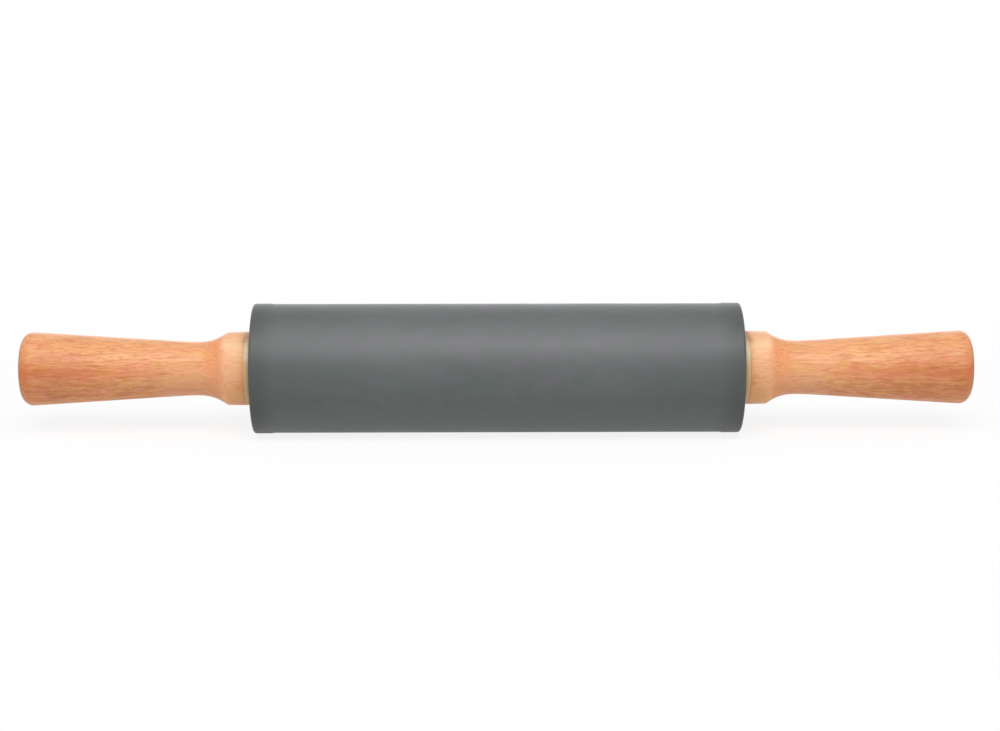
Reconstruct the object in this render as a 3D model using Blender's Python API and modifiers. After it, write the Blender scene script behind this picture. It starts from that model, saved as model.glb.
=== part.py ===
"""Rolling pin with a silicone-sleeved roller that spins on a steel axle between two turned wooden handles.

Metres, +Z up. The pin lies along X, centred over the origin, with its roller resting on Z = 0.
Every round piece is turned about the pin's axis. Its outline is a list of corners, each one
(place along the axis from the pin's middle, radius, rounding). It starts at the piece's outer end,
runs inwards along the outside, and comes back along any bore.
"""

import math

import bmesh
import bpy
from mathutils import Matrix, Vector

# Clearances
SEAT_GAP = 0.0003
RUNNING_GAP = 0.0003
CUT_OVERRUN = 0.001

# Silicone sleeve, which wraps round both ends of the core and has a low raised band at each end
ROLLER_LENGTH = 0.1948
ROLLER_DIAMETER = 0.0518
SLEEVE_WALL = 0.0032
LIP_THICKNESS = 0.0025
SLEEVE_CORNER_ROUNDING = 0.001
BAND_RISE = 0.0002
BAND_WIDTH = 0.0068
BAND_SLOPE_LENGTH = 0.0014
BAND_ROUNDING = 0.004

# Wooden core
CORE_EDGE_ROUNDING = 0.0018
CORE_BORE_ROOM = 0.001

# Flanged nylon bush, pressed into each end of the core on crushed ribs
FLANGE_THICKNESS = 0.0026
FLANGE_ROUNDING = 0.0002
SPIGOT_DIAMETER = 0.0154
SPIGOT_LENGTH = 0.020
SPIGOT_LEAD_IN = 0.001
RIB_COUNT = 6
RIB_HEIGHT = 0.0003
RIB_DIAMETER = 0.0018
RIB_LEAD_DIAMETER = 0.0014
RIB_SETBACK = 0.002
RIB_RUNOUT = 0.003

# Steel axle, shouldered and threaded at both ends
AXLE_DIAMETER = 0.008
THREAD_DIAMETER = 0.006
THREAD_LENGTH = 0.021
THREAD_TIP_CHAMFER = 0.0009
UNDERCUT_DEPTH = 0.0007
UNDERCUT_LENGTH = 0.0015

# Steel thrust washer, let into the face of each handle's collar
WASHER_DIAMETER = 0.020
WASHER_THICKNESS = 0.0015

# Slotted threaded insert, screwed into each handle
INSERT_DIAMETER = 0.012
INSERT_LENGTH = 0.015
INSERT_CHAMFER = 0.0008
INSERT_SETBACK = 0.0005
SLOT_WIDTH = 0.0018
SLOT_DEPTH = 0.0025

# Turned handle: collar, cove, neck, long taper and rounded end
HANDLE_LENGTH = 0.0894
COLLAR_DIAMETER = 0.0295
COLLAR_LENGTH = 0.0075
COLLAR_EDGE_ROUNDING = 0.0002
SHOULDER_DIAMETER = 0.0292
SHOULDER_ROUNDING = 0.0022
COVE_LENGTH = 0.0052
COVE_ROUNDING = 0.0175
NECK_DIAMETER = 0.0215
NECK_LENGTH = 0.0099
NECK_ROUNDING = 0.110
GRIP_END_DIAMETER = 0.0299
GRIP_END_ROUNDING = 0.0043
PILOT_SIDE_ROOM = 0.0008
PILOT_TIP_ROOM = 0.002
DRILL_POINT_ANGLE = math.radians(118)

# Facets round each kind of piece, and how far a facet may stray from a rounding
ROLLER_FACETS = 64
HANDLE_FACETS = 48
BUSH_FACETS = 40
SMALL_FACETS = 32
RIB_FACETS = 10
ARC_SAG = 0.00003
WELD_DISTANCE = 0.00001
SHARP_ANGLE = math.radians(32)

# Radii that follow from the sizes above
ROLLER_RADIUS = ROLLER_DIAMETER / 2
BAND_RADIUS = ROLLER_RADIUS + BAND_RISE
SLEEVE_BORE_RADIUS = ROLLER_RADIUS - SLEEVE_WALL
CORE_RADIUS = SLEEVE_BORE_RADIUS - SEAT_GAP
SPIGOT_RADIUS = SPIGOT_DIAMETER / 2
LIP_HOLE_RADIUS = SPIGOT_RADIUS + SEAT_GAP
COUNTERBORE_RADIUS = SPIGOT_RADIUS + RIB_HEIGHT + SEAT_GAP
AXLE_RADIUS = AXLE_DIAMETER / 2
CORE_BORE_RADIUS = AXLE_RADIUS + CORE_BORE_ROOM
BUSH_BORE_RADIUS = AXLE_RADIUS + RUNNING_GAP
THREAD_RADIUS = THREAD_DIAMETER / 2
UNDERCUT_RADIUS = THREAD_RADIUS - UNDERCUT_DEPTH
WASHER_RADIUS = WASHER_DIAMETER / 2
WASHER_BORE_RADIUS = AXLE_RADIUS + SEAT_GAP
INSERT_RADIUS = INSERT_DIAMETER / 2
INSERT_BORE_RADIUS = THREAD_RADIUS + SEAT_GAP
COLLAR_RADIUS = COLLAR_DIAMETER / 2
FLANGE_RADIUS = COLLAR_RADIUS
SHOULDER_RADIUS = SHOULDER_DIAMETER / 2
NECK_RADIUS = NECK_DIAMETER / 2
GRIP_END_RADIUS = GRIP_END_DIAMETER / 2
RECESS_RADIUS = WASHER_RADIUS + SEAT_GAP
INSERT_HOLE_RADIUS = INSERT_RADIUS + SEAT_GAP
PILOT_RADIUS = THREAD_RADIUS + PILOT_SIDE_ROOM

# Places along the axis, from the pin's middle outwards
ROLLER_FACE = ROLLER_LENGTH / 2
BAND_START = ROLLER_FACE - BAND_WIDTH
BAND_FOOT = BAND_START - BAND_SLOPE_LENGTH
LIP_INNER_FACE = ROLLER_FACE - LIP_THICKNESS
CORE_FACE = LIP_INNER_FACE - SEAT_GAP
FLANGE_INNER_FACE = ROLLER_FACE + SEAT_GAP
FLANGE_OUTER_FACE = FLANGE_INNER_FACE + FLANGE_THICKNESS
SPIGOT_END = FLANGE_INNER_FACE - SPIGOT_LENGTH
COUNTERBORE_FLOOR = SPIGOT_END - SEAT_GAP
RIB_START = CORE_FACE - RIB_SETBACK
RIB_END = SPIGOT_END + RIB_RUNOUT
COLLAR_FACE = FLANGE_OUTER_FACE + RUNNING_GAP
WASHER_BACK = COLLAR_FACE + WASHER_THICKNESS
RECESS_FLOOR = WASHER_BACK + SEAT_GAP
INSERT_FACE = RECESS_FLOOR + INSERT_SETBACK
INSERT_END = INSERT_FACE + INSERT_LENGTH
INSERT_HOLE_FLOOR = INSERT_END + SEAT_GAP
AXLE_SHOULDER = INSERT_FACE - SEAT_GAP
AXLE_TIP = AXLE_SHOULDER + THREAD_LENGTH
PILOT_FLOOR = AXLE_TIP + PILOT_TIP_ROOM
PILOT_POINT = PILOT_FLOOR + PILOT_RADIUS / math.tan(DRILL_POINT_ANGLE / 2)
SHOULDER_PLACE = COLLAR_FACE + COLLAR_LENGTH
COVE_FOOT = SHOULDER_PLACE + COVE_LENGTH
NECK_END = COVE_FOOT + NECK_LENGTH
HANDLE_END = COLLAR_FACE + HANDLE_LENGTH

# The roller rests on the flat of one facet of its end bands
AXIS_HEIGHT = BAND_RADIUS * math.cos(math.pi / ROLLER_FACETS)


def clear_scene():
    for old in list(bpy.data.objects):
        bpy.data.objects.remove(old, do_unlink=True)


def linear(*srgb):
    """Linear colour of an sRGB colour given as shares of full brightness."""
    return [c / 12.92 if c <= 0.04045 else ((c + 0.055) / 1.055) ** 2.4 for c in srgb]


def make_material(name, srgb, roughness, metallic=0.0):
    material = bpy.data.materials.new(name)
    material.use_nodes = True
    shader = material.node_tree.nodes["Principled BSDF"]
    shader.inputs["Base Color"].default_value = (*linear(*srgb), 1.0)
    shader.inputs["Roughness"].default_value = roughness
    shader.inputs["Metallic"].default_value = metallic
    return material


def corner_turn(before, corner, after):
    """How far an outline turns at a corner."""
    return math.pi - (before - corner).angle(after - corner)


def corner_reach(place, rounding, outline):
    """How far along both sides of a corner its rounding begins."""
    if not rounding:
        return 0
    before, corner, after = outline[place - 1], outline[place], outline[(place + 1) % len(outline)]
    return rounding * math.tan(corner_turn(before, corner, after) / 2)


def rounded_corner(before, corner, after, reach):
    """Points of the arc that touches both sides of a corner at this reach from it."""
    side_in = (before - corner).normalized()
    side_out = (after - corner).normalized()
    turn = corner_turn(before, corner, after)
    rounding = reach / math.tan(turn / 2)
    centre = corner + (side_in + side_out).normalized() * rounding / math.cos(turn / 2)
    first = corner + side_in * reach - centre
    last = corner + side_out * reach - centre
    steps = max(2, math.ceil(turn / (2 * math.acos(1 - ARC_SAG / rounding))))
    points = []
    for step in range(steps + 1):
        angle = turn * step / steps
        spoke = first * math.sin(turn - angle) + last * math.sin(angle)
        points.append(centre + spoke / math.sin(turn))
    return points


def rounded_outline(corners):
    """Points of an outline, with an arc in place of each corner that has a rounding.

    Where two roundings would meet on a short side, both are drawn in until they fit on it.
    """
    outline = [Vector((along, radius)) for along, radius, rounding in corners]
    reaches = [corner_reach(i, corner[2], outline) for i, corner in enumerate(corners)]
    points = []
    for i, corner in enumerate(outline):
        after = (i + 1) % len(outline)
        if not reaches[i]:
            points.append(corner)
            continue
        fit = min(
            (outline[near] - corner).length / (reaches[near] + reaches[i]) for near in (i - 1, after)
        )
        reach = reaches[i] * min(1, fit)
        points += rounded_corner(outline[i - 1], corner, outline[after], reach)
    return points


def mirrored(corners):
    """The same corners on the other side of the pin's middle, in the order that carries on from them."""
    return [(-along, radius, rounding) for along, radius, rounding in reversed(corners)]


def turned_blank(name, corners, facets):
    """A solid of revolution about the local Z axis, closed at the axis or round a bore."""
    points = rounded_outline(corners)
    edges = [(i, i + 1) for i in range(len(points) - 1)]
    if points[0].y > 0:
        edges.append((len(points) - 1, 0))
    mesh = bpy.data.meshes.new(name)
    mesh.from_pydata([(radius, 0, along) for along, radius in points], edges, [])
    blank = bpy.data.objects.new(name, mesh)
    bpy.context.scene.collection.objects.link(blank)
    turning = blank.modifiers.new("turning", "SCREW")
    turning.axis = "Z"
    turning.angle = math.tau
    turning.steps = facets
    turning.render_steps = facets
    turning.use_merge_vertices = True
    turning.merge_threshold = WELD_DISTANCE
    return blank


def tool_object(name, shape):
    """A hidden object that a Boolean cuts with or joins on."""
    mesh = bpy.data.meshes.new(name)
    shape.to_mesh(mesh)
    shape.free()
    tool = bpy.data.objects.new(name, mesh)
    tool.hide_render = True
    tool.display_type = "WIRE"
    bpy.context.scene.collection.objects.link(tool)
    return tool


def combine(blank, tool, operation):
    boolean = blank.modifiers.new(operation.lower(), "BOOLEAN")
    boolean.operation = operation
    boolean.solver = "EXACT"
    boolean.object = tool


def finished_mesh(blank, tools=()):
    """The blank's shape with its modifiers applied, smooth except at real edges. The blank is used up."""
    bpy.context.view_layer.update()
    depsgraph = bpy.context.evaluated_depsgraph_get()
    mesh = bpy.data.meshes.new_from_object(blank.evaluated_get(depsgraph))
    mesh.name = blank.name
    mesh.shade_smooth()
    mesh.set_sharp_from_angle(angle=SHARP_ANGLE)
    for used in (blank, *tools):
        bpy.data.objects.remove(used, do_unlink=True)
    return mesh


def add_piece(name, mesh, facets, material, carrier, collection, side=1):
    """A piece on the pin's axis, its outer end to the right (side 1) or to the left (side -1).

    Half a facet of turn about the axis puts a flat, and not an edge, at the bottom.
    """
    piece = bpy.data.objects.new(name, mesh)
    piece.rotation_mode = "ZYX"
    piece.rotation_euler = (0, side * math.pi / 2, math.pi / facets)
    piece.parent = carrier
    if not mesh.materials:
        mesh.materials.append(material)
    collection.objects.link(piece)


def add_carrier(name, collection):
    """An empty on the pin's axis that carries the pieces of one moving group."""
    carrier = bpy.data.objects.new(name, None)
    carrier.location = (0, 0, AXIS_HEIGHT)
    carrier.empty_display_size = ROLLER_RADIUS
    collection.objects.link(carrier)
    return carrier


def sleeve_mesh():
    outside = [
        (ROLLER_FACE, LIP_HOLE_RADIUS, 0),
        (ROLLER_FACE, BAND_RADIUS, SLEEVE_CORNER_ROUNDING),
        (BAND_START, BAND_RADIUS, BAND_ROUNDING),
        (BAND_FOOT, ROLLER_RADIUS, BAND_ROUNDING),
    ]
    inside = [
        (-LIP_INNER_FACE, LIP_HOLE_RADIUS, 0),
        (-LIP_INNER_FACE, SLEEVE_BORE_RADIUS, 0),
    ]
    corners = outside + mirrored(outside) + inside + mirrored(inside)
    return finished_mesh(turned_blank("silicone_sleeve", corners, ROLLER_FACETS))


def core_mesh():
    outside = [(CORE_FACE, COUNTERBORE_RADIUS, 0), (CORE_FACE, CORE_RADIUS, CORE_EDGE_ROUNDING)]
    bore = [
        (-COUNTERBORE_FLOOR, COUNTERBORE_RADIUS, 0),
        (-COUNTERBORE_FLOOR, CORE_BORE_RADIUS, 0),
    ]
    corners = outside + mirrored(outside) + bore + mirrored(bore)
    return finished_mesh(turned_blank("roller_core", corners, SMALL_FACETS))


def crush_ribs():
    """Tapered ribs along the bush's spigot, each a thin rod sunk in so that it stands RIB_HEIGHT proud."""
    shape = bmesh.new()
    middle = (RIB_START + RIB_END) / 2
    reach = SPIGOT_RADIUS + RIB_HEIGHT - RIB_DIAMETER / 2
    for rib in range(RIB_COUNT):
        round_axis = Matrix.Rotation(math.tau * rib / RIB_COUNT, 4, "Z")
        bmesh.ops.create_cone(
            shape,
            cap_ends=True,
            segments=RIB_FACETS,
            radius1=RIB_LEAD_DIAMETER / 2,
            radius2=RIB_DIAMETER / 2,
            depth=RIB_START - RIB_END,
            matrix=round_axis @ Matrix.Translation((reach, 0, middle)),
        )
    return tool_object("crush_ribs", shape)


def bush_mesh():
    corners = [
        (FLANGE_OUTER_FACE, BUSH_BORE_RADIUS, 0),
        (FLANGE_OUTER_FACE, FLANGE_RADIUS, FLANGE_ROUNDING),
        (FLANGE_INNER_FACE, FLANGE_RADIUS, FLANGE_ROUNDING),
        (FLANGE_INNER_FACE, SPIGOT_RADIUS, 0),
        (SPIGOT_END + SPIGOT_LEAD_IN, SPIGOT_RADIUS, 0),
        (SPIGOT_END, SPIGOT_RADIUS - SPIGOT_LEAD_IN, 0),
        (SPIGOT_END, BUSH_BORE_RADIUS, 0),
    ]
    blank = turned_blank("flanged_bush", corners, BUSH_FACETS)
    ribs = crush_ribs()
    combine(blank, ribs, "UNION")
    return finished_mesh(blank, [ribs])


def axle_mesh():
    undercut_end = AXLE_SHOULDER + UNDERCUT_LENGTH
    threaded_end = [
        (AXLE_TIP, 0, 0),
        (AXLE_TIP, THREAD_RADIUS - THREAD_TIP_CHAMFER, 0),
        (AXLE_TIP - THREAD_TIP_CHAMFER, THREAD_RADIUS, 0),
        (undercut_end, THREAD_RADIUS, 0),
        (undercut_end, UNDERCUT_RADIUS, 0),
        (AXLE_SHOULDER, UNDERCUT_RADIUS, 0),
        (AXLE_SHOULDER, AXLE_RADIUS, 0),
    ]
    corners = threaded_end + mirrored(threaded_end)
    return finished_mesh(turned_blank("axle_rod", corners, SMALL_FACETS))


def washer_mesh():
    corners = [
        (WASHER_BACK, WASHER_BORE_RADIUS, 0),
        (WASHER_BACK, WASHER_RADIUS, 0),
        (COLLAR_FACE, WASHER_RADIUS, 0),
        (COLLAR_FACE, WASHER_BORE_RADIUS, 0),
    ]
    return finished_mesh(turned_blank("thrust_washer", corners, SMALL_FACETS))


def driver_slot():
    """The slot across the insert's near end that a driver turns it by."""
    shape = bmesh.new()
    length = INSERT_DIAMETER + 2 * CUT_OVERRUN
    depth = SLOT_DEPTH + CUT_OVERRUN
    middle = INSERT_FACE + SLOT_DEPTH - depth / 2
    size = Matrix.Diagonal((length, SLOT_WIDTH, depth, 1))
    bmesh.ops.create_cube(shape, size=1, matrix=Matrix.Translation((0, 0, middle)) @ size)
    return tool_object("driver_slot", shape)


def insert_mesh():
    corners = [
        (INSERT_END, INSERT_BORE_RADIUS, 0),
        (INSERT_END, INSERT_RADIUS - INSERT_CHAMFER, 0),
        (INSERT_END - INSERT_CHAMFER, INSERT_RADIUS, 0),
        (INSERT_FACE, INSERT_RADIUS, 0),
        (INSERT_FACE, INSERT_BORE_RADIUS, 0),
    ]
    blank = turned_blank("threaded_insert", corners, SMALL_FACETS)
    slot = driver_slot()
    combine(blank, slot, "DIFFERENCE")
    return finished_mesh(blank, [slot])


def handle_mesh():
    outside = [
        (HANDLE_END, 0, 0),
        (HANDLE_END, GRIP_END_RADIUS, GRIP_END_ROUNDING),
        (NECK_END, NECK_RADIUS, NECK_ROUNDING),
        (COVE_FOOT, NECK_RADIUS, COVE_ROUNDING),
        (SHOULDER_PLACE, SHOULDER_RADIUS, SHOULDER_ROUNDING),
        (COLLAR_FACE, COLLAR_RADIUS, COLLAR_EDGE_ROUNDING),
    ]
    bores = [
        (COLLAR_FACE, RECESS_RADIUS, 0),
        (RECESS_FLOOR, RECESS_RADIUS, 0),
        (RECESS_FLOOR, INSERT_HOLE_RADIUS, 0),
        (INSERT_HOLE_FLOOR, INSERT_HOLE_RADIUS, 0),
        (INSERT_HOLE_FLOOR, PILOT_RADIUS, 0),
        (PILOT_FLOOR, PILOT_RADIUS, 0),
        (PILOT_POINT, 0, 0),
    ]
    return finished_mesh(turned_blank("handle", outside + bores, HANDLE_FACETS))


def build_roller(collection, materials):
    """Everything that spins: sleeve, core and the two bushes."""
    carrier = add_carrier("roller_axis", collection)
    add_piece(
        "silicone_sleeve", sleeve_mesh(), ROLLER_FACETS, materials["silicone"], carrier, collection
    )
    add_piece("roller_core", core_mesh(), SMALL_FACETS, materials["core_wood"], carrier, collection)
    bush = bush_mesh()
    for end, side in (("left", -1), ("right", 1)):
        add_piece(f"bush_{end}", bush, BUSH_FACETS, materials["nylon"], carrier, collection, side)


def build_handles(collection, materials):
    """Everything that the hands hold still: axle, washers, inserts and handles."""
    carrier = add_carrier("handle_axis", collection)
    add_piece("axle_rod", axle_mesh(), SMALL_FACETS, materials["axle_steel"], carrier, collection)
    ends = {
        "thrust_washer": (washer_mesh(), SMALL_FACETS, materials["washer_steel"]),
        "threaded_insert": (insert_mesh(), SMALL_FACETS, materials["insert_zinc"]),
        "handle": (handle_mesh(), HANDLE_FACETS, materials["handle_wood"]),
    }
    for name, (mesh, facets, material) in ends.items():
        for end, side in (("left", -1), ("right", 1)):
            add_piece(f"{name}_{end}", mesh, facets, material, carrier, collection, side)


def main():
    clear_scene()
    collection = bpy.data.collections.new("silicone_rolling_pin")
    bpy.context.scene.collection.children.link(collection)
    materials = {
        "silicone": make_material("silicone", (0.43, 0.445, 0.44), 0.6),
        "handle_wood": make_material("handle_wood", (0.92, 0.68, 0.50), 0.4),
        "core_wood": make_material("core_wood", (0.86, 0.72, 0.54), 0.7),
        "nylon": make_material("nylon", (0.90, 0.83, 0.69), 0.45),
        "axle_steel": make_material("axle_steel", (0.74, 0.74, 0.73), 0.3, 1.0),
        "washer_steel": make_material("washer_steel", (0.78, 0.78, 0.78), 0.35, 1.0),
        "insert_zinc": make_material("insert_zinc", (0.80, 0.76, 0.62), 0.35, 1.0),
    }
    build_roller(collection, materials)
    build_handles(collection, materials)


main()
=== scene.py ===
"""Looks of the silicone rolling pin: fine meshes, finishes, floor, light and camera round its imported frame.

Metres, in the frame's own axes. The pin lies along X with its middle over the origin, and its
roller rests on Z = 0. A turned piece is an outline spun about the pin's axis. The outline is a
list of corners, each one (place along the axis, radius, rounding), that starts at the piece's
outer end, runs inwards along the outside and comes back along any bore.

In the finishes, along is the distance from the pin's middle along its axis, depth runs from front
to back, and height is counted up from the axis. A span is the pair of values between which
something comes in: it is absent at the first and complete at the second.
"""

import math
from functools import cached_property
from typing import NamedTuple

import bmesh
import bpy
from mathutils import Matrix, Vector


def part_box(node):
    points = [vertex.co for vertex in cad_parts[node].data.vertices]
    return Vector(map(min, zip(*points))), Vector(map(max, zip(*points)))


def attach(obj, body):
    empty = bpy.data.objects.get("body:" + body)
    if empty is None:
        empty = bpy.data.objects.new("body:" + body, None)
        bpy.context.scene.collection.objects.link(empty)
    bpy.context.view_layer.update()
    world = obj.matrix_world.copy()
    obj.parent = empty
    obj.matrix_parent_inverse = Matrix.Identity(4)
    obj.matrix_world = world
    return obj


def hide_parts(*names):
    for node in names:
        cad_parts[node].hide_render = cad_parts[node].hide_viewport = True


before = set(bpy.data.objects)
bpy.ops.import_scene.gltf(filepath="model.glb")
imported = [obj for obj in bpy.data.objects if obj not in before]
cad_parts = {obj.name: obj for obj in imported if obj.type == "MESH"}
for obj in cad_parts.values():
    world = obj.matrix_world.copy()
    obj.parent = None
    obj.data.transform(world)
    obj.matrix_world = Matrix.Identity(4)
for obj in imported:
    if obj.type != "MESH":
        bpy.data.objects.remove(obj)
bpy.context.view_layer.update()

# Places and radii read from the frame
sleeve_low, sleeve_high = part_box("silicone_sleeve")
bush_low, bush_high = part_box("bush_right")
washer_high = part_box("thrust_washer_right")[1]
insert_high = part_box("threaded_insert_right")[1]
handle_low, handle_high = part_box("handle_right")
axle_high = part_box("axle_rod")[1]
AXIS_HEIGHT = (sleeve_low.z + sleeve_high.z) / 2
ROLLER_FACE = sleeve_high.x
BAND_RADIUS = sleeve_high.z - AXIS_HEIGHT
SPIGOT_END = bush_low.x
FLANGE_OUTER_FACE = bush_high.x
COLLAR_FACE = handle_low.x
HANDLE_END = handle_high.x
WASHER_BACK = washer_high.x
WASHER_RADIUS = washer_high.z - AXIS_HEIGHT
INSERT_END = insert_high.x
INSERT_RADIUS = insert_high.z - AXIS_HEIGHT
AXLE_TIP = axle_high.x

# Sizes that the outlines share with the solids
SEAT_GAP = 0.0003
RUNNING_GAP = 0.0003
BAND_RISE = 0.0002
BAND_WIDTH = 0.0068
BAND_SLOPE_LENGTH = 0.0014
BAND_ROUNDING = 0.004
SLEEVE_CORNER_ROUNDING = 0.001
LIP_THICKNESS = 0.0025
LIP_HOLE_RADIUS = 0.008
SLEEVE_BORE_RADIUS = 0.0227
SPIGOT_RADIUS = 0.0077
BUSH_BORE_RADIUS = 0.0043
COLLAR_RADIUS = 0.01475
COLLAR_LENGTH = 0.0075
SHOULDER_RADIUS = 0.0146
SHOULDER_ROUNDING = 0.0022
COVE_LENGTH = 0.0052
COVE_ROUNDING = 0.0175
NECK_RADIUS = 0.01075
NECK_LENGTH = 0.0099
NECK_ROUNDING = 0.110
GRIP_END_RADIUS = 0.01495
GRIP_END_ROUNDING = 0.0043
PILOT_RADIUS = 0.0038
PILOT_TIP_ROOM = 0.002
PILOT_POINT_LENGTH = 0.0023

# Sizes that differ from the solids': the hole in the sleeve's lip has a rounded edge, and the gap
# between a flange and a collar is narrower, with sharper edges beside it
LIP_HOLE_ROUNDING = 0.0003
VISIBLE_GAP = 0.00005
FLANGE_ROUNDING = 0.0001
COLLAR_EDGE_ROUNDING = 0.0001

# Places and sizes that follow from those above
SHOULDER_PLACE = COLLAR_FACE + COLLAR_LENGTH
COVE_FOOT = SHOULDER_PLACE + COVE_LENGTH
END_FACE_RADIUS = GRIP_END_RADIUS - GRIP_END_ROUNDING
GAP_COVER = (RUNNING_GAP - VISIBLE_GAP) / 2

# How finely the meshes are made
SLEEVE_SEGMENTS = 192
HANDLE_SEGMENTS = 160
BUSH_SEGMENTS = 128
ARC_STEP = math.radians(9)
FEWEST_ARC_STEPS = 3
SLEEVE_SPACING = 0.002
HANDLE_SPACING = 0.001
BUSH_SPACING = 0.001
MERGE_DISTANCE = SEAT_GAP / 100
SHARP_ANGLE = math.radians(40)


# Outlines and turned meshes


def arc_points(before, corner, after, rounding):
    """Points of the arc of this radius that touches both sides of a corner."""
    side_in = (before - corner).normalized()
    side_out = (after - corner).normalized()
    turn = math.pi - side_in.angle(side_out)
    reach = rounding * math.tan(turn / 2)
    centre = corner + (side_in + side_out).normalized() * rounding / math.cos(turn / 2)
    first = corner + side_in * reach - centre
    last = corner + side_out * reach - centre
    steps = max(FEWEST_ARC_STEPS, math.ceil(turn / ARC_STEP))
    points = []
    for step in range(steps + 1):
        angle = turn * step / steps
        spoke = first * math.sin(turn - angle) + last * math.sin(angle)
        points.append(centre + spoke / math.sin(turn))
    return points


def outline_points(corners, spacing):
    """An outline's points, with arcs at the rounded corners and long runs divided evenly."""
    outline = [Vector((along, radius)) for along, radius, rounding in corners]
    roundings = [rounding for along, radius, rounding in corners]
    turned = []
    for place, rounding in enumerate(roundings):
        if rounding:
            after = outline[(place + 1) % len(outline)]
            turned += arc_points(outline[place - 1], outline[place], after, rounding)
        else:
            turned.append(outline[place])
    if outline[0].y > 0:
        turned.append(turned[0])
    points = [turned[0]]
    for start, end in zip(turned, turned[1:]):
        pieces = math.ceil((end - start).length / spacing)
        points += [start.lerp(end, piece / pieces) for piece in range(1, pieces + 1)]
    return points


def turned_mesh(name, corners, segments, spacing, side=1):
    """A closed solid of revolution about the pin's axis, its outer end to the right (1) or left (-1)."""
    shape = bmesh.new()
    rings = []
    for along, radius in outline_points(corners, spacing):
        count = segments if radius > 0 else 1
        angles = [math.tau * place / segments for place in range(count)]
        rings.append([
            shape.verts.new((
                side * along,
                radius * math.cos(angle),
                AXIS_HEIGHT + radius * math.sin(angle),
            ))
            for angle in angles
        ])
    for ring, following in zip(rings, rings[1:]):
        for place in range(segments):
            square = [
                ring[place % len(ring)],
                ring[(place + 1) % segments % len(ring)],
                following[(place + 1) % segments % len(following)],
                following[place % len(following)],
            ]
            shape.faces.new(list(dict.fromkeys(square)))
    bmesh.ops.remove_doubles(shape, verts=shape.verts, dist=MERGE_DISTANCE)
    bmesh.ops.recalc_face_normals(shape, faces=shape.faces)
    mesh = bpy.data.meshes.new(name)
    shape.to_mesh(mesh)
    shape.free()
    mesh.shade_smooth()
    mesh.set_sharp_from_angle(angle=SHARP_ANGLE)
    return mesh


def mirrored(corners):
    """The same corners on the other side of the pin's middle, in the order that carries on from them."""
    return [(-along, radius, rounding) for along, radius, rounding in reversed(corners)]


# Shader nodes

WHITE = (1.0, 1.0, 1.0, 1.0)
LAYER_ROUGHNESS = 0.6

# The Mix node's sockets for colours, which share their names with its other sockets
MIX_SHARE = 0
MIX_FIRST = 6
MIX_SECOND = 7
MIX_RESULT = 2


def linear(red, green, blue):
    """Linear colour of an sRGB colour given in 0 to 255, by the standard's own formula."""
    channels = []
    for level in (red, green, blue):
        share = level / 255
        channels.append(share / 12.92 if share <= 0.04045 else ((share + 0.055) / 1.055) ** 2.4)
    return (*channels, 1.0)


class Nodes:
    """The shader nodes of a material or a world, and short ways to add more."""

    def __init__(self, owner):
        owner.use_nodes = True
        self.nodes = owner.node_tree.nodes
        self.links = owner.node_tree.links

    def add(self, kind, inputs=None, output=0, **settings):
        """Adds a node and gives its output. An input is a value or another node's output."""
        made = self.nodes.new("ShaderNode" + kind)
        for setting, value in settings.items():
            setattr(made, setting, value)
        for socket, value in (inputs or {}).items():
            if isinstance(value, bpy.types.NodeSocket):
                self.links.new(value, made.inputs[socket])
            else:
                made.inputs[socket].default_value = value
        return made.outputs[output]

    def feed(self, socket, value, node="Principled BSDF"):
        """Links a value to a socket of a node that is already there."""
        self.links.new(value, self.nodes[node].inputs[socket])

    def math(self, operation, *values):
        return self.add("Math", dict(enumerate(values)), operation=operation)

    def product(self, share, *others):
        for other in others:
            share = self.math("MULTIPLY", share, other)
        return share

    def length(self, across, up):
        """Length of the line that spans this far across and up."""
        squares = [self.math("POWER", side, 2.0) for side in (across, up)]
        return self.math("SQRT", self.math("ADD", *squares))

    def rise(self, value, start, end, low=0.0, high=1.0):
        """A smooth step from low to high as the value goes from start to end."""
        inputs = {"Value": value, "From Min": start, "From Max": end, "To Min": low, "To Max": high}
        return self.add("MapRange", inputs, interpolation_type="SMOOTHSTEP")

    def softened(self, share, least):
        """The same share, raised so that it doesn't go below a least one."""
        return self.rise(share, 0.0, 1.0, least)

    def band(self, value, middle, reach, high=1.0):
        """A soft band, this high at its middle and gone at this reach either side of it."""
        off = self.math("ABSOLUTE", self.math("SUBTRACT", value, middle))
        return self.rise(off, 0.0, reach, high, 0.0)

    def mix(self, share, first, second, blend="MIX"):
        inputs = {MIX_SHARE: share, MIX_FIRST: first, MIX_SECOND: second}
        return self.add("Mix", inputs, output=MIX_RESULT, data_type="RGBA", blend_type=blend)

    def mix_shaders(self, share, first, second):
        return self.add("MixShader", dict(enumerate((share, first, second))))


class Pattern(NamedTuple):
    """A natural pattern, by the length of its features along the pin and their width across it.

    Its shift, counted in features, keeps patterns of like size apart.
    """

    length: float
    width: float
    detail: float = 2.0
    roughness: float = 0.5
    shift: float = 0.0


class Fade(NamedTuple):
    """A coat of tint that comes in as a value goes from start to end.

    The value is a height, a place along the pin, or the level of a pattern, from 0 to 1.
    """

    tint: tuple
    start: float
    end: float
    most: float = 1.0
    least: float = 0.0

    def share(self, finish, value):
        return finish.rise(value, self.start, self.end, self.least, self.most)


class Stripe(NamedTuple):
    """A coat of tint that is thickest where a value is at its middle, and gone at this reach from it."""

    tint: tuple
    middle: float
    reach: float
    most: float = 1.0

    def share(self, finish, value):
        return finish.band(value, self.middle, self.reach, self.most)


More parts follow.
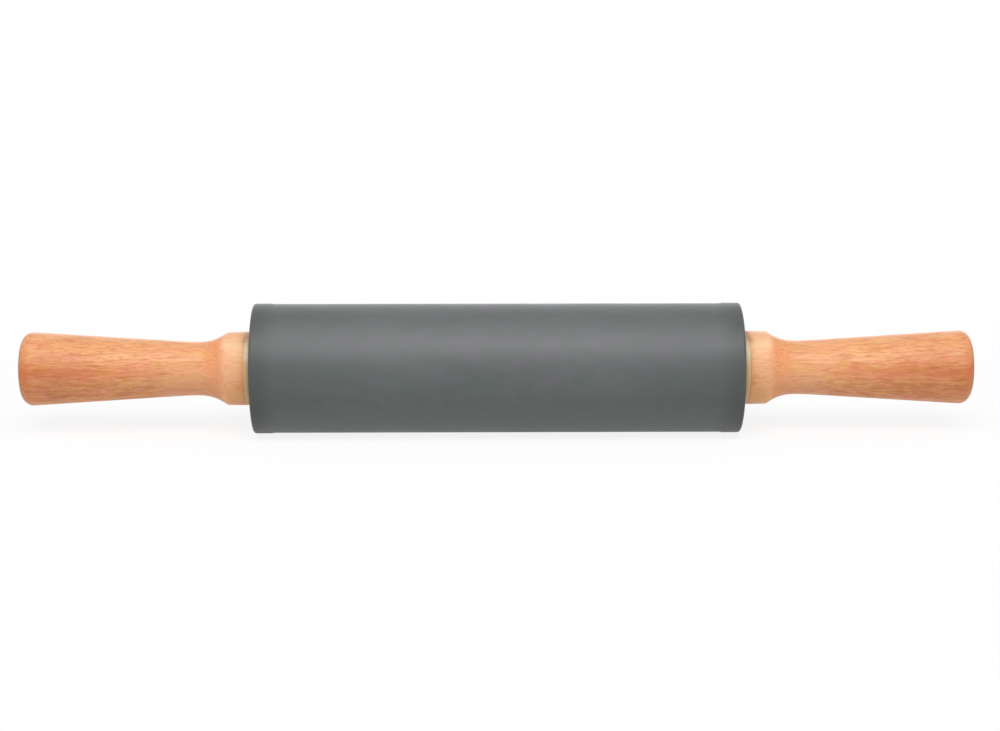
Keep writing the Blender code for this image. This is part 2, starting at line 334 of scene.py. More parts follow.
class Finish(Nodes):
    """A procedural material for a piece, whose colour is built up coat by coat.

    Patterns are placed by the object's own coordinates, which are the frame's at rest, in metres.
    """

    def __init__(self, name, **sockets):
        self.material = bpy.data.materials.new(name)
        super().__init__(self.material)
        for socket, value in sockets.items():
            self.nodes["Principled BSDF"].inputs[socket.replace("_", " ")].default_value = value
        self.place = self.add("TexCoord", output="Object")
        self.colour = None

    @cached_property
    def parts_of_place(self):
        return self.add("SeparateXYZ", {"Vector": self.place}).node.outputs

    @cached_property
    def along(self):
        return self.math("ABSOLUTE", self.parts_of_place["X"])

    @cached_property
    def depth(self):
        return self.parts_of_place["Y"]

    @cached_property
    def height(self):
        return self.math("SUBTRACT", self.parts_of_place["Z"], AXIS_HEIGHT)

    @cached_property
    def from_axis(self):
        """Distance from the pin's axis."""
        return self.length(self.depth, self.height)

    def coordinates(self, pattern, seed=0.0):
        """Coordinates in which the pattern's features are one unit long and wide."""
        scale = (1 / pattern.length, 1 / pattern.width, 1 / pattern.width)
        shift = (pattern.shift + seed, 0, 0)
        return self.add("Mapping", {"Vector": self.place, "Location": shift, "Scale": scale})

    def noise(self, pattern, seed=0.0):
        """Level of a cloudy pattern."""
        inputs = {
            "Vector": self.coordinates(pattern, seed),
            "Scale": 1.0,
            "Detail": pattern.detail,
            "Roughness": pattern.roughness,
        }
        return self.add("TexNoise", inputs)

    def cells(self, pattern, seed=0.0, randomness=1.0):
        """Distance from the nearest of many scattered points, in features of the pattern."""
        inputs = {"Vector": self.coordinates(pattern, seed), "Scale": 1.0, "Randomness": randomness}
        return self.add("TexVoronoi", inputs)

    def layers(self, value, thickness, detail=2.0):
        """Level of uneven layers of about this thickness, stacked along a value."""
        inputs = {
            "W": self.math("DIVIDE", value, thickness),
            "Scale": 1.0,
            "Detail": detail,
            "Roughness": LAYER_ROUGHNESS,
        }
        return self.add("TexNoise", inputs, noise_dimensions="1D")

    def paint(self, value, span, first, second):
        """Starts the colour off as one tint that turns into another over a span of a value."""
        self.colour = self.mix(self.rise(value, *span), first, second)

    def lay(self, coat, value, *masks, blend="MIX"):
        """Lays a coat over the colour so far, as thick as the value makes it, and thinned by any masks."""
        share = self.product(coat.share(self, value), *masks)
        self.colour = self.mix(share, self.colour, coat.tint, blend)

    def bump(self, height, depth, normal=None):
        inputs = {"Height": height, "Distance": depth}
        if normal:
            inputs["Normal"] = normal
        return self.add("Bump", inputs)


# Silicone

SILICONE_SHEEN = (0.98, 0.88, 1.0, 1.0)
SILICONE_CLOUDS = Pattern(length=0.03, width=0.012, detail=3.0)
SILICONE_MOTTLE = Pattern(length=0.005, width=0.004)
SILICONE_BLOOM = Pattern(length=0.007, width=0.005, shift=4)
MOULD_GRAIN = Pattern(length=0.00035, width=0.00035)
MOULD_GRAIN_DEPTH = 0.000006
CLOUD_SPAN = (0.3, 0.7)
CHARCOAL = linear(85, 90, 88)
CLOUDED_CHARCOAL = linear(93, 97, 95)
# Painted light: the paler charcoal of the lit bands below
PAINTED_LIGHT_CHARCOAL = linear(99, 107, 102)
GREENISH_MOTTLE = Fade(linear(82, 94, 86), start=0.42, end=0.66, most=0.7)
VIOLET_BLOOM = Fade(linear(95, 93, 101), start=0.44, end=0.70, most=0.7)
# Painted shade: the silicone darkens towards its ends
PAINTED_SHADE_TOWARDS_ENDS = Fade(linear(78, 84, 81), start=0.04, end=ROLLER_FACE, most=0.6)
# Painted shade: a greener tint over the lower half
PAINTED_GREENER_SHADE_BELOW = Fade(linear(251, 255, 249), start=0.012, end=-0.012)
# Painted light low down, as of light off the floor, and a painted highlight that widens the sheen upwards
PAINTED_BOUNCE_LOW_DOWN = Fade(PAINTED_LIGHT_CHARCOAL, start=-0.0070, end=-0.0150, most=0.50)
PAINTED_HIGHLIGHT_ABOVE_SHEEN = Stripe(PAINTED_LIGHT_CHARCOAL, middle=0.0195, reach=0.0050, most=0.40)
# Painted shade: darker still near each rim, on the outside only
PAINTED_SHADE_AT_RIMS = Fade(linear(69, 75, 70), start=ROLLER_FACE - 0.0120, end=ROLLER_FACE - 0.0010, most=0.90)
OUTSIDE_SPAN = (BAND_RADIUS - 0.004, BAND_RADIUS - 0.001)
SILICONE_ROUGHNESS_SPAN = (0.2, 0.8)
SILICONE_ROUGHNESS = (0.46, 0.53)


def silicone_finish():
    """Matt charcoal silicone, faintly clouded, with the fine grain of its mould.

    Painted shade darkens it towards its ends and most at their rims, and makes its underside greener.
    Painted light makes it paler low down, and a painted highlight makes it paler above its sheen.
    """
    finish = Finish("charcoal_silicone", Specular_Tint=SILICONE_SHEEN)
    clouds = finish.noise(SILICONE_CLOUDS)
    outside = finish.rise(finish.from_axis, *OUTSIDE_SPAN)
    finish.paint(clouds, CLOUD_SPAN, CHARCOAL, CLOUDED_CHARCOAL)
    finish.lay(GREENISH_MOTTLE, finish.noise(SILICONE_MOTTLE))
    finish.lay(VIOLET_BLOOM, finish.noise(SILICONE_BLOOM))
    finish.lay(PAINTED_SHADE_TOWARDS_ENDS, finish.along)
    finish.lay(PAINTED_GREENER_SHADE_BELOW, finish.height, blend="MULTIPLY")
    finish.lay(PAINTED_BOUNCE_LOW_DOWN, finish.height)
    finish.lay(PAINTED_HIGHLIGHT_ABOVE_SHEEN, finish.height)
    finish.lay(PAINTED_SHADE_AT_RIMS, finish.along, outside)
    finish.feed("Base Color", finish.colour)
    finish.feed("Roughness", finish.rise(clouds, *SILICONE_ROUGHNESS_SPAN, *SILICONE_ROUGHNESS))
    finish.feed("Normal", finish.bump(finish.noise(MOULD_GRAIN), MOULD_GRAIN_DEPTH))
    return finish.material


# Wood: where the middle of the tree lay across the handles, and how far its layers wander

GRAIN_SEEDS = {"left": 3.0, "right": 8.0}
PITH_DEPTH = 0.012
PITH_HEIGHT = -0.060
GROWTH_WANDER = 0.006
WANDER = Pattern(length=0.070, width=0.020, detail=1.0)
WANDER_MIDDLE = 0.5

# Its grain: growth layers and lines, what runs along the fibres, and the coats that follow them in turn
LAYER_THICKNESS = 0.0030
LINE_THICKNESS = 0.0011
STRAW = Pattern(length=0.010, width=0.0030, shift=11)
BLUSH = Pattern(length=0.009, width=0.0034, shift=5)
FIBRES = Pattern(length=0.0085, width=0.0011, detail=3.0, roughness=0.55)
STREAKS = Pattern(length=0.012, width=0.0010, shift=7)
FLECKS = Pattern(length=0.0045, width=0.0007, detail=1.0, shift=2)
# Painted light and shade: the wood goes from paler high up to darker low down
PAINTED_SHADE_HEIGHT_SPAN = (0.009, -0.009)
PAINTED_LIT_WOOD = linear(236, 171, 118)
PAINTED_SHADED_WOOD = linear(202, 124, 73)
GRAIN_COATS = [
    ("layers", Fade(linear(240, 174, 124), start=0.36, end=0.64, most=0.40)),
    ("lines", Fade(linear(208, 126, 80), start=0.42, end=0.64, most=0.40)),
    ("straw", Fade(linear(226, 164, 88), start=0.45, end=0.68, most=0.60)),
    ("blush", Fade(linear(232, 143, 114), start=0.45, end=0.68, most=0.60)),
    ("fibres", Fade(linear(246, 186, 138), start=0.38, end=0.66, most=0.42)),
    ("streaks", Fade(linear(200, 122, 68), start=0.52, end=0.70, most=0.42)),
    ("flecks", Fade(linear(190, 116, 66), start=0.56, end=0.68, most=0.34)),
    ("flecks", Fade(linear(250, 196, 150), start=0.44, end=0.34, most=0.30)),
]
WOOD_ROUGHNESS_SPAN = (0.25, 0.75)
WOOD_ROUGHNESS = (0.52, 0.40)
TURNING_MARK_SPACING = 0.0011
TURNING_MARK_DEPTH = 0.000012
FIBRE_DEPTH = 0.00002

# Its pores: two sizes of mark, how far one reaches where they are sparse and where they crowd, and
# how much fainter they are on the neck
PORE_KINDS = [Pattern(length=0.0105, width=0.0009), Pattern(length=0.0050, width=0.0007)]
PORE_RANDOMNESS = 0.9
PORE_TINT = linear(184, 102, 54)
PORE_STRENGTH = 0.50
PORE_DEPTH = 0.00002
PORE_EDGE_SPAN = (-0.08, 0.14)
CROWDING = Pattern(length=0.012, width=0.003, detail=1.0, shift=3)
CROWDING_SPAN = (0.38, 0.66)
PORE_REACHES = (0.10, 0.27)
PORE_ALONG_SPAN = (COVE_FOOT - 0.004, COVE_FOOT + 0.020)
NECK_PORE_SHARE = 0.75

# Spans of a handle's parts: its front, its grip, its neck and cove, its collar, and its grip's end
FRONT_SPAN = (-0.002, -0.008)
GRIP_SPAN = (COVE_FOOT + 0.010, COVE_FOOT + 0.035)
NECK_SPAN = (COVE_FOOT + 0.030, COVE_FOOT + 0.008)
COLLAR_SPAN = (SHOULDER_PLACE + 0.0030, SHOULDER_PLACE - 0.0002)
COLLAR_EDGE_REACH = 0.0022
GRIP_END_SPAN = (HANDLE_END - 0.045, HANDLE_END - 0.015)
END_EDGE_SPAN = (HANDLE_END - 0.0014, HANDLE_END - 0.0004)
OFF_FACE_SPAN = (END_FACE_RADIUS - 0.0014, END_FACE_RADIUS + 0.0012)
ON_FACE_SPAN = (END_FACE_RADIUS + 0.0008, END_FACE_RADIUS - 0.0010)

# Its tints that both handles share, most of them painted light and shade
# Painted shade across the middle of the grip's front and towards its end
GRIP_FRONT_PAINTED_SHADE = Stripe(linear(214, 120, 80), middle=0.0010, reach=0.0040, most=0.38)
GRIP_END_PAINTED_SHADE = Stripe(linear(237, 223, 215), middle=0.0010, reach=0.0165)
# Painted light low down on the neck and cove, and painted shade in the cove's hollow
PAINTED_LIGHT_ON_NECK = Fade(linear(242, 180, 137), start=0.008, end=-0.006, least=0.15, most=0.60)
PAINTED_SHADE_IN_COVE = Stripe(linear(234, 150, 97), middle=COVE_FOOT - 0.0008, reach=0.0080, most=0.60)
COVE_SHADE_HEIGHT_SPAN = (-0.004, 0.006)
COVE_SHADE_LOW_SHARE = 0.6
# Painted light on the collar, and a painted highlight high up on it
PAINTED_LIGHT_ON_COLLAR = Fade(linear(255, 204, 160), *COLLAR_SPAN, most=0.34)
PAINTED_HIGHLIGHT_ON_COLLAR = Stripe(linear(250, 208, 168), middle=0.0116, reach=0.0038, most=0.65)
THREADS = Pattern(length=0.0045, width=0.0009, shift=17)
BROWN_THREADS = Fade(linear(224, 134, 66), start=0.46, end=0.64, most=0.66)
THREADS_HEIGHT = -0.0040
THREADS_REACH = 0.0080
# An edge that is yellower, most of all low down, and a dark spot on it high on the front
YELLOWER_COLLAR_EDGE = Fade(linear(224, 160, 88), start=0.006, end=-0.006, least=0.20, most=0.45)
DARK_EDGE_SPOT = Stripe(linear(150, 100, 56), middle=0.0134, reach=0.0030, most=0.40)
# Painted light low down, as of light off the floor
PAINTED_LIGHT_UNDERSIDE = Fade(linear(236, 180, 130), start=-0.0095, end=-0.0135, most=0.20)
PAINTED_LIGHT_COLLAR_UNDERSIDE = Fade(linear(255, 190, 126), start=0.0, end=-0.0110, most=0.70)
# Painted shade on the end rounding, which turns away from the lamps, and a browner edge where it meets the
# flat end
PAINTED_SHADE_ON_END = Fade(linear(210, 112, 66), start=HANDLE_END - 0.0058, end=HANDLE_END - 0.0036, most=0.50)
END_SHADE_REACH = 0.0120
END_SHADE_LEAST = 0.35
END_SHADE_FACE_SHARE = 0.6
BROWN_END_EDGE = Fade(linear(152, 102, 64), *END_EDGE_SPAN, most=0.40)
BROWN_EDGE_FACE_SHARE = 0.35

# Its sawn end: rings, late wood and cut pores
SAWN_RING_THICKNESS = 0.0016
SAWN_RING_SPAN = (0.36, 0.64)
SAWN_DARK = linear(206, 134, 90)
SAWN_PALE = linear(224, 154, 108)
LATE_WOOD_THICKNESS = 0.0007
LATE_WOOD = Fade(linear(184, 112, 72), start=0.50, end=0.66, most=0.40)
CUT_PORES = Pattern(length=0.0008, width=0.0008)
DARK_CUT_PORES = Fade(linear(158, 94, 58), start=0.30, end=0.12, most=0.45)
SAWN_SHARE = 0.80


def growth_layers(finish, seed):
    """Distance from the middle of the tree, with the layers' own wander, at each place in the wood."""
    from_pith = finish.length(
        finish.math("SUBTRACT", finish.depth, PITH_DEPTH),
        finish.math("SUBTRACT", finish.height, PITH_HEIGHT),
    )
    wander = finish.math("SUBTRACT", finish.noise(WANDER, seed), WANDER_MIDDLE)
    return finish.math("ADD", from_pith, finish.product(wander, GROWTH_WANDER))


def grain_coats(finish, growth, fibres, seed):
    """Wood with painted light high up and painted shade low down, and its growth layers, straw and blush
    clouds, fibres and flecks.
    """
    patterns = {
        "layers": finish.layers(growth, LAYER_THICKNESS),
        "lines": finish.layers(growth, LINE_THICKNESS, detail=1.0),
        "straw": finish.noise(STRAW),
        "blush": finish.noise(BLUSH),
        "fibres": fibres,
        "streaks": finish.noise(STREAKS, seed),
        "flecks": finish.noise(FLECKS, seed),
    }
    finish.paint(finish.height, PAINTED_SHADE_HEIGHT_SPAN, PAINTED_LIT_WOOD, PAINTED_SHADED_WOOD)
    for pattern, coat in GRAIN_COATS:
        finish.lay(coat, patterns[pattern])


def grip_painted_shade(finish):
    """Painted shade: a redder band along the middle of the grip's front, and a darker, redder middle towards
    its end.
    """
    on_front = finish.rise(finish.depth, *FRONT_SPAN)
    on_grip = finish.rise(finish.along, *GRIP_SPAN)
    towards_end = finish.rise(finish.along, *GRIP_END_SPAN)
    finish.lay(GRIP_FRONT_PAINTED_SHADE, finish.height, on_front, on_grip)
    finish.lay(GRIP_END_PAINTED_SHADE, finish.height, towards_end, blend="MULTIPLY")


def neck_coats(finish):
    """Painted light on the neck and cove, palest low down, and painted shade in the hollow, reddest high up.
    """
    off_grip = finish.rise(finish.along, *NECK_SPAN)
    high_up = finish.rise(finish.height, *COVE_SHADE_HEIGHT_SPAN, COVE_SHADE_LOW_SHARE)
    finish.lay(PAINTED_LIGHT_ON_NECK, finish.height, off_grip)
    finish.lay(PAINTED_SHADE_IN_COVE, finish.along, high_up)


def collar_coats(finish):
    """A collar paler with painted light and cream high up with a painted highlight, with brown threads below
    its middle, an edge that is yellower, most of all low down, and a dark spot on that edge high on the
    front.
    """
    on_front = finish.rise(finish.depth, *FRONT_SPAN)
    on_collar = finish.rise(finish.along, *COLLAR_SPAN)
    at_edge = finish.band(finish.along, COLLAR_FACE, COLLAR_EDGE_REACH)
    near_threads = finish.band(finish.height, THREADS_HEIGHT, THREADS_REACH)
    finish.lay(PAINTED_LIGHT_ON_COLLAR, finish.along)
    finish.lay(PAINTED_HIGHLIGHT_ON_COLLAR, finish.height, on_collar)
    finish.lay(BROWN_THREADS, finish.noise(THREADS), on_collar, near_threads)
    finish.lay(YELLOWER_COLLAR_EDGE, finish.height, at_edge)
    finish.lay(DARK_EDGE_SPOT, finish.height, on_front, at_edge)


def underside_painted_light(finish):
    """Painted light that makes the underside paler, most of all on the collar."""
    on_collar = finish.rise(finish.along, *COLLAR_SPAN)
    finish.lay(PAINTED_LIGHT_UNDERSIDE, finish.height)
    finish.lay(PAINTED_LIGHT_COLLAR_UNDERSIDE, finish.height, on_collar)


def end_coats(finish):
    """A rounding that is reddened with painted shade, most of all at mid height, and browned where it meets
    the flat end.
    """
    off_face = finish.rise(finish.from_axis, *OFF_FACE_SPAN)
    mid_height = finish.math("MAXIMUM", finish.band(finish.height, 0.0, END_SHADE_REACH), END_SHADE_LEAST)
    finish.lay(PAINTED_SHADE_ON_END, finish.along, finish.softened(off_face, END_SHADE_FACE_SHARE), mid_height)
    finish.lay(BROWN_END_EDGE, finish.along, finish.softened(off_face, BROWN_EDGE_FACE_SHARE))


def sawn_end(finish, growth):
    """Sawn growth rings and pores on the flat end of a handle."""
    on_face = finish.rise(finish.from_axis, *ON_FACE_SPAN)
    at_end = finish.rise(finish.along, *END_EDGE_SPAN)
    turned = finish.colour
    finish.paint(finish.layers(growth, SAWN_RING_THICKNESS), SAWN_RING_SPAN, SAWN_DARK, SAWN_PALE)
    finish.lay(LATE_WOOD, finish.layers(growth, LATE_WOOD_THICKNESS, detail=1.0))
    finish.lay(DARK_CUT_PORES, finish.cells(CUT_PORES))
    finish.colour = finish.mix(finish.product(on_face, at_end, SAWN_SHARE), turned, finish.colour)


def pore_marks(finish, seed):
    """Short dark dashes where open pores reach the surface."""
    reach = finish.rise(finish.noise(CROWDING, seed), *CROWDING_SPAN, *PORE_REACHES)
    marks = []
    for kind in PORE_KINDS:
        near = finish.cells(kind, seed + kind.length / kind.width, PORE_RANDOMNESS)
        inside = finish.math("SUBTRACT", reach, near)
        marks.append(finish.rise(inside, *PORE_EDGE_SPAN, high=PORE_STRENGTH))
    towards_grip = finish.rise(finish.along, *PORE_ALONG_SPAN, NECK_PORE_SHARE)
    return finish.product(finish.math("MAXIMUM", *marks), towards_grip)


def wood_finish(name, seed):
    """Turned and varnished rubberwood.

    Its fibres run along X and its growth layers lie almost level, so that they show as fine lines
    from the front, as wide tongues from above, and as arcs on the sawn end. The grain has its own
    seed, and the broad tints are alike on both handles.
    """
    finish = Finish(name, Specular_IOR_Level=0.25, Coat_Weight=0.06, Coat_Roughness=0.3)
    growth = growth_layers(finish, seed)
    fibres = finish.noise(FIBRES, seed)
    pores = pore_marks(finish, seed)
    grain_coats(finish, growth, fibres, seed)
    grip_painted_shade(finish)
    neck_coats(finish)
    collar_coats(finish)
    underside_painted_light(finish)
    end_coats(finish)
    sawn_end(finish, growth)
    finish.feed("Base Color", finish.mix(pores, finish.colour, PORE_TINT))
    finish.feed("Roughness", finish.rise(fibres, *WOOD_ROUGHNESS_SPAN, *WOOD_ROUGHNESS))
    turning_marks = finish.layers(finish.along, TURNING_MARK_SPACING, detail=1.0)
    normal = finish.bump(turning_marks, TURNING_MARK_DEPTH)
    normal = finish.bump(fibres, FIBRE_DEPTH, normal)
    finish.feed("Normal", finish.bump(finish.math("SUBTRACT", 1.0, pores), PORE_DEPTH, normal))
    return finish.material


# Nylon

NYLON_RING_SPACING = 0.0005
NYLON_RING_DEPTH = 0.00001
NYLON_RING_SPAN = (0.35, 0.65)
NYLON = linear(203, 171, 127)
PALER_NYLON = linear(217, 189, 149)
# Painted light low down, a painted highlight, and painted shade at the top
PAINTED_LIGHT_NYLON_UNDERSIDE = Fade(linear(248, 213, 158), start=-0.004, end=-0.011, most=0.90)
PAINTED_HIGHLIGHT_NYLON = Stripe(linear(242, 220, 184), middle=0.0092, reach=0.0062, most=0.90)
PAINTED_SHADE_NYLON_TOP = Fade(linear(190, 146, 104), start=0.0114, end=0.0140, most=0.80)
NYLON_CLOUDS = Pattern(length=0.004, width=0.003)
YELLOWED_CLOUDS = Fade(linear(206, 168, 112), start=0.5, end=0.8, most=0.25)
WARM_OUTER_EDGE = Fade(
    linear(244, 196, 142),
    start=FLANGE_OUTER_FACE - 0.0014,
    end=FLANGE_OUTER_FACE - 0.0002,
    most=0.70,
)
WARM_EDGE_HEIGHT_SPAN = (0.0070, 0.0030)
# Painted shade and dirt where the ring meets the roller
SHADED_AND_SOILED_INNER_EDGE = Fade(
    linear(112, 106, 78),
    start=ROLLER_FACE + 0.0022,
    end=ROLLER_FACE + 0.0004,
    most=0.80,
)
NYLON_ROUGHNESS_SPAN = (0.3, 0.7)
NYLON_ROUGHNESS = (0.40, 0.50)


def nylon_finish():
    """Yellowed nylon with faint turning rings.

    It is brown at its top with painted shade, cream below that with a painted highlight and yellow low down
    with painted light, warmer next to the handle, and darker next to the roller with painted shade and dirt.
    """
    finish = Finish("cream_nylon", Subsurface_Weight=0.1, Subsurface_Scale=0.001, Specular_IOR_Level=0.3)
    rings = finish.layers(finish.along, NYLON_RING_SPACING)
    clouds = finish.noise(NYLON_CLOUDS)
    finish.paint(rings, NYLON_RING_SPAN, NYLON, PALER_NYLON)
    finish.lay(PAINTED_LIGHT_NYLON_UNDERSIDE, finish.height)
    finish.lay(PAINTED_HIGHLIGHT_NYLON, finish.height)
    finish.lay(PAINTED_SHADE_NYLON_TOP, finish.height)
    finish.lay(YELLOWED_CLOUDS, clouds)
    finish.lay(WARM_OUTER_EDGE, finish.along, finish.rise(finish.height, *WARM_EDGE_HEIGHT_SPAN))
    finish.lay(SHADED_AND_SOILED_INNER_EDGE, finish.along)
    finish.feed("Base Color", finish.colour)
    finish.feed("Roughness", finish.rise(clouds, *NYLON_ROUGHNESS_SPAN, *NYLON_ROUGHNESS))
    finish.feed("Normal", finish.bump(rings, NYLON_RING_DEPTH))
    return finish.material


# Inner pieces, which keep their solids' own meshes

CORE_FIBRES = Pattern(length=0.03, width=0.0012, detail=4.0, roughness=0.6)
CORE_FIBRE_DEPTH = 0.00003
CORE_DARK = linear(200, 164, 118)
CORE_PALE = linear(232, 202, 156)
LATHE_RINGS = Pattern(length=0.0003, width=0.02, detail=3.0)
LATHE_RING_DEPTH = 0.000008
LATHE_RING_SPAN = (0.3, 0.7)
LATHE_RING_ROUGHNESS_CHANGES = (-0.05, 0.08)


class Metal(NamedTuple):
    """A metal's name, its dark and light tints, and its middling roughness."""

    name: str
    dark: tuple
    light: tuple
    roughness: float


METALS = {
    "axle_rod": Metal("axle_steel", linear(176, 176, 174), linear(200, 200, 198), roughness=0.3),
    "thrust_washer": Metal("washer_steel", linear(190, 190, 190), linear(212, 212, 212), roughness=0.35),
    "threaded_insert": Metal("insert_zinc", linear(190, 182, 140), linear(214, 204, 166), roughness=0.35),
}


def core_finish():
    """Plain turned wood that is left unvarnished."""
    finish = Finish("core_wood", Roughness=0.7)
    fibres = finish.noise(CORE_FIBRES)
    finish.feed("Base Color", finish.mix(fibres, CORE_DARK, CORE_PALE))
    finish.feed("Normal", finish.bump(fibres, CORE_FIBRE_DEPTH))
    return finish.material


def metal_finish(metal):
    """Turned metal with fine rings round its axis."""
    finish = Finish(metal.name, Metallic=1.0)
    rings = finish.noise(LATHE_RINGS)
    roughness = [metal.roughness + change for change in LATHE_RING_ROUGHNESS_CHANGES]
    finish.feed("Base Color", finish.mix(rings, metal.dark, metal.light))
    finish.feed("Roughness", finish.rise(rings, *LATHE_RING_SPAN, *roughness))
    finish.feed("Normal", finish.bump(rings, LATHE_RING_DEPTH))
    return finish.material


def finish_inner_pieces():
    """Gives each inner node of the frame the finish that goes with the start of its name."""
    finishes = {stem: metal_finish(metal) for stem, metal in METALS.items()}
    finishes["roller_core"] = core_finish()
    for node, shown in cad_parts.items():
        for stem, finish in finishes.items():
            if node.startswith(stem):
                shown.data.materials.clear()
                shown.data.materials.append(finish)


# Pieces


def add_piece(name, mesh, finish, body, node):
    """Adds a piece that stands for a node of the frame and rides on its body."""
    piece = bpy.data.objects.new(name, mesh)
    bpy.context.scene.collection.objects.link(piece)
    mesh.materials.append(finish)
    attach(piece, body)
    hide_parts(node)


def add_sleeve(finish):
    """The roller's skin, with a raised band at each end and a lip that wraps over each end of the core."""
    outside = [
        (ROLLER_FACE, LIP_HOLE_RADIUS, LIP_HOLE_ROUNDING),
        (ROLLER_FACE, BAND_RADIUS, SLEEVE_CORNER_ROUNDING),
        (ROLLER_FACE - BAND_WIDTH, BAND_RADIUS, BAND_ROUNDING),
        (ROLLER_FACE - BAND_WIDTH - BAND_SLOPE_LENGTH, BAND_RADIUS - BAND_RISE, BAND_ROUNDING),
    ]
    inside = [
        (LIP_THICKNESS - ROLLER_FACE, LIP_HOLE_RADIUS, 0),
        (LIP_THICKNESS - ROLLER_FACE, SLEEVE_BORE_RADIUS, 0),
    ]
    corners = outside + mirrored(outside) + inside + mirrored(inside)
    mesh = turned_mesh("sleeve", corners, SLEEVE_SEGMENTS, SLEEVE_SPACING)
    add_piece("sleeve", mesh, finish, "roller", "silicone_sleeve")


def add_bush(end, side, finish):
    """A flanged bush, its flange between the roller and a handle and its spigot in the roller."""
    flange_face = FLANGE_OUTER_FACE + GAP_COVER
    corners = [
        (flange_face, BUSH_BORE_RADIUS, 0),
        (flange_face, COLLAR_RADIUS, FLANGE_ROUNDING),
        (ROLLER_FACE + SEAT_GAP, COLLAR_RADIUS, FLANGE_ROUNDING),
        (ROLLER_FACE + SEAT_GAP, SPIGOT_RADIUS, 0),
        (SPIGOT_END, SPIGOT_RADIUS, 0),
        (SPIGOT_END, BUSH_BORE_RADIUS, 0),
    ]
    mesh = turned_mesh(f"flanged_bush_{end}", corners, BUSH_SEGMENTS, BUSH_SPACING, side)
    add_piece(f"flanged_bush_{end}", mesh, finish, "roller", f"bush_{end}")


def add_handle(end, side, finish):
    """A turned handle, with a stepped bore for the washer, the insert and the axle's tip."""
    collar_face = COLLAR_FACE - GAP_COVER
    recess_floor = WASHER_BACK + SEAT_GAP
    hole_floor = INSERT_END + SEAT_GAP
    pilot_floor = AXLE_TIP + PILOT_TIP_ROOM
    outside = [
        (HANDLE_END, 0, 0),
        (HANDLE_END, GRIP_END_RADIUS, GRIP_END_ROUNDING),
        (COVE_FOOT + NECK_LENGTH, NECK_RADIUS, NECK_ROUNDING),
        (COVE_FOOT, NECK_RADIUS, COVE_ROUNDING),
        (SHOULDER_PLACE, SHOULDER_RADIUS, SHOULDER_ROUNDING),
        (collar_face, COLLAR_RADIUS, COLLAR_EDGE_ROUNDING),
    ]
    bores = [
        (collar_face, WASHER_RADIUS + SEAT_GAP, 0),
        (recess_floor, WASHER_RADIUS + SEAT_GAP, 0),
        (recess_floor, INSERT_RADIUS + SEAT_GAP, 0),
        (hole_floor, INSERT_RADIUS + SEAT_GAP, 0),
        (hole_floor, PILOT_RADIUS, 0),
        (pilot_floor, PILOT_RADIUS, 0),
        (pilot_floor + PILOT_POINT_LENGTH, 0, 0),
    ]
    mesh = turned_mesh(f"turned_handle_{end}", outside + bores, HANDLE_SEGMENTS, HANDLE_SPACING, side)
    add_piece(f"turned_handle_{end}", mesh, finish, "handles", f"handle_{end}")


# Camera: where it stands round the pin, what it aims at, and its lens

CAMERA_DISTANCE = 0.889
CAMERA_AZIMUTH = -0.6
CAMERA_ELEVATION = 12
CAMERA_LENS_MM = 79.6
CAMERA_AIM = Vector((0.0012, 0, AXIS_HEIGHT + 0.0010))
SENSOR_WIDTH_MM = 36


def stand_round_pin(thing, azimuth, elevation, distance):
    """Adds a camera or a lamp this far from the aim and turned to it, at angles in degrees.

    Azimuth 0 is straight in front of the pin.
    """
    across, up = math.radians(azimuth), math.radians(elevation)
    level = math.cos(up)
    direction = (math.sin(across) * level, -math.cos(across) * level, math.sin(up))
    thing.location = CAMERA_AIM + distance * Vector(direction)
    thing.rotation_euler = (CAMERA_AIM - thing.location).to_track_quat("-Z", "Y").to_euler()
    bpy.context.scene.collection.objects.link(thing)


def add_camera():
    camera = bpy.data.objects.new("camera", bpy.data.cameras.new("camera"))
    camera.data.sensor_width = SENSOR_WIDTH_MM
    camera.data.lens = CAMERA_LENS_MM
    stand_round_pin(camera, CAMERA_AZIMUTH, CAMERA_ELEVATION, CAMERA_DISTANCE)
    bpy.context.scene.camera = camera


# Lamps, world and floor

WORLD_STRENGTH = 0.28
LAMP_DISTANCE = 1.2


class Lamp(NamedTuple):
    """A rectangular lamp that faces the pin: its angles in degrees, its level width, its height across
    that, and its power in watts.
    """

    azimuth: float
    elevation: float
    width: float
    height: float
    power: float


LAMPS = {
    "key": Lamp(azimuth=0, elevation=54, width=1.2, height=0.65, power=12.5),
    "back": Lamp(azimuth=180, elevation=26, width=1.2, height=0.40, power=1.1),
    "low_back": Lamp(azimuth=180, elevation=8, width=1.2, height=0.20, power=1.5),
    "left": Lamp(azimuth=-90, elevation=22, width=0.9, height=0.7, power=1.5),
    "right": Lamp(azimuth=90, elevation=22, width=0.9, height=0.7, power=1.5),
}

# Floor: its shade to light that bounces off it and to the camera, how white it looks close to the
# pin, and over what distance it turns plain white, in an oval that is longer along the pin
FLOOR_SIZE = 8
FLOOR_CELLS = 8
FLOOR_SHADE = 0.78
FLOOR_SHADE_SEEN = 1.0
FLOOR_WHITE_SHARE = 0.86
FLOOR_WHITE_SPAN = (0.05, 0.30)
FLOOR_SQUEEZE = (0.4, 1.0, 0.0)


def add_softbox(name, lamp):
    light = bpy.data.lights.new(name, "AREA")
    light.shape = "RECTANGLE"
    light.size = lamp.width
    light.size_y = lamp.height
    light.energy = lamp.power
    softbox = bpy.data.objects.new(name, light)
    softbox.visible_camera = False
    stand_round_pin(softbox, lamp.azimuth, lamp.elevation, LAMP_DISTANCE)


def white_to_camera(tree):
    """Share of plain white that camera, glossy and transmission rays see."""
    rays = tree.add("LightPath").node.outputs
    seen = rays["Is Camera Ray"]
    for kind in ("Is Glossy Ray", "Is Transmission Ray"):
        seen = tree.math("MAXIMUM", seen, rays[kind])
    return seen


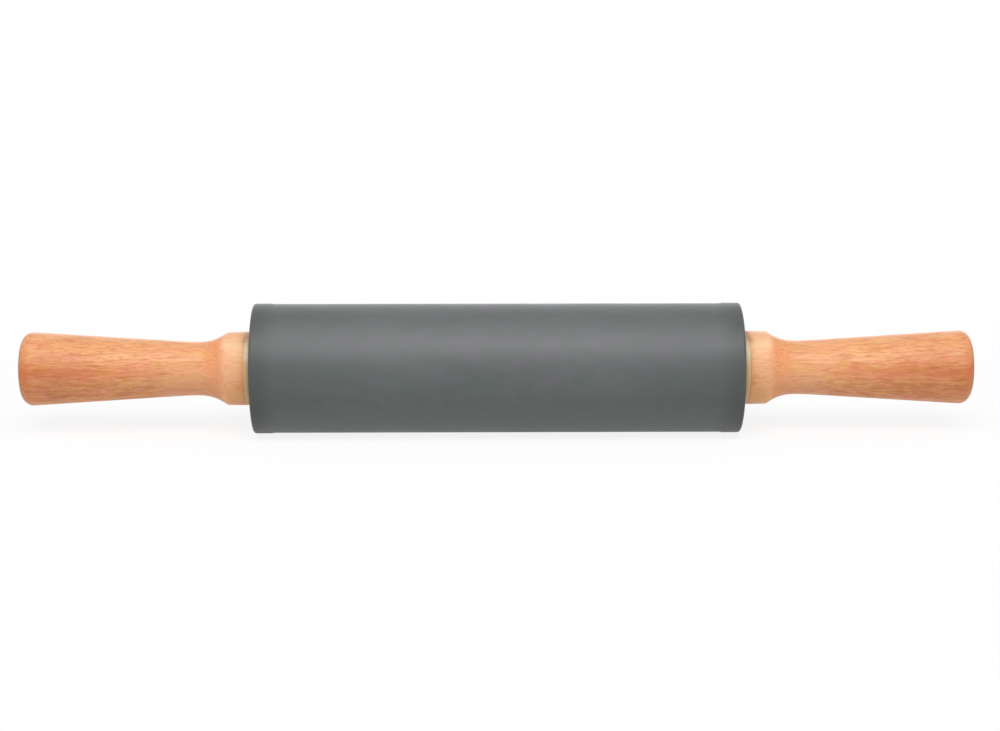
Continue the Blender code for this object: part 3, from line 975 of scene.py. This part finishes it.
def add_world():
    """Even pale light from all round, and plain white behind the pin."""
    world = bpy.data.worlds.new("studio")
    bpy.context.scene.world = world
    tree = Nodes(world)
    tree.nodes.remove(tree.nodes["Background"])
    light = tree.add("Background", {"Color": WHITE, "Strength": WORLD_STRENGTH})
    white = tree.add("Background", {"Color": WHITE})
    tree.feed("Surface", tree.mix_shaders(white_to_camera(tree), light, white), node="World Output")


def floor_finish():
    """Pale and matt under the pin, and for the camera plain white further away."""
    material = bpy.data.materials.new("pale_floor")
    tree = Nodes(material)
    tree.nodes.remove(tree.nodes["Principled BSDF"])
    seen = white_to_camera(tree)
    shade = tree.add("MapRange", {"Value": seen, "To Min": FLOOR_SHADE, "To Max": FLOOR_SHADE_SEEN})
    surface = tree.add("BsdfDiffuse", {"Color": shade})
    place = tree.add("TexCoord", output="Object")
    squeezed = tree.add("VectorMath", {0: place, 1: FLOOR_SQUEEZE}, operation="MULTIPLY")
    distance = tree.add("VectorMath", {0: squeezed}, output="Value", operation="LENGTH")
    white_share = tree.rise(distance, *FLOOR_WHITE_SPAN, FLOOR_WHITE_SHARE)
    shown = tree.mix_shaders(tree.product(seen, white_share), surface, tree.add("Emission"))
    tree.feed("Surface", shown, node="Material Output")
    return material


def add_floor():
    """Plain floor that takes the pin's shadow."""
    shape = bmesh.new()
    bmesh.ops.create_grid(shape, x_segments=FLOOR_CELLS, y_segments=FLOOR_CELLS, size=FLOOR_SIZE / 2)
    mesh = bpy.data.meshes.new("floor")
    shape.to_mesh(mesh)
    shape.free()
    mesh.materials.append(floor_finish())
    floor = bpy.data.objects.new("floor", mesh)
    bpy.context.scene.collection.objects.link(floor)


add_sleeve(silicone_finish())
nylon = nylon_finish()
for end, side in (("left", -1), ("right", 1)):
    add_bush(end, side, nylon)
    add_handle(end, side, wood_finish(f"handle_wood_{end}", GRAIN_SEEDS[end]))
finish_inner_pieces()

add_floor()
add_world()
add_camera()
for name, lamp in LAMPS.items():
    add_softbox(name, lamp)

bpy.context.scene.view_settings.view_transform = "Standard"
